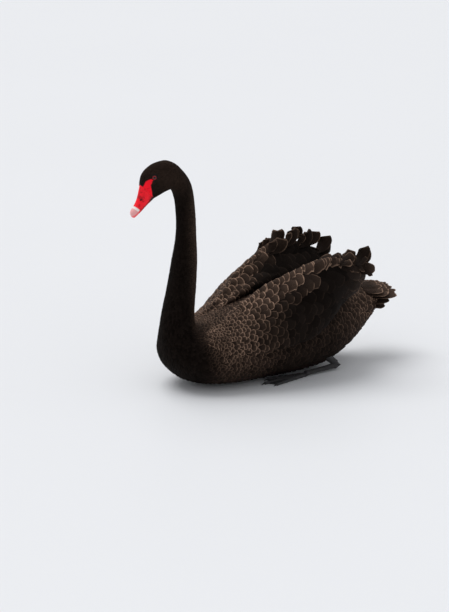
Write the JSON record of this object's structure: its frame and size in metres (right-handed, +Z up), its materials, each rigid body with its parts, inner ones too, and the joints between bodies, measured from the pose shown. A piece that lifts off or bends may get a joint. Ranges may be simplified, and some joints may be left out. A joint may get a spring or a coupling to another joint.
{
  "type": "black swan",
  "caption": "Life-size still model of a black swan afloat, neck up and wings half raised, with curled feathers, resting on its belly",
  "frame": {"origin": "middle of the flat under the belly, on the floor", "axes": "+Z up, head towards -Y and tail towards +Y, the swan's left side towards +X"},
  "size_m": [0.3037, 0.6973, 0.5277],
  "materials": {
    "black_plumage": "soft black feathers",
    "brown_plumage": "brown-black feathers with paler edges",
    "red_bill": "satin red horn with a pale band",
    "red_eye": "wet gloss red",
    "leg_skin": "scaly dark grey skin"
  },
  "bodies": {
    "root": {"head": "black_plumage", "neck_upper": "black_plumage", "neck_middle": "black_plumage", "neck_lower": "black_plumage", "torso": "brown_plumage", "tail": "brown_plumage", "wing_left": "brown_plumage", "wing_right": "brown_plumage", "bill_upper": "red_bill", "bill_lower": "red_bill", "eye_left": "red_eye", "eye_right": "red_eye", "leg_left": "leg_skin", "leg_right": "leg_skin", "foot_left": "leg_skin", "foot_right": "leg_skin"}
  },
  "joints": []
}
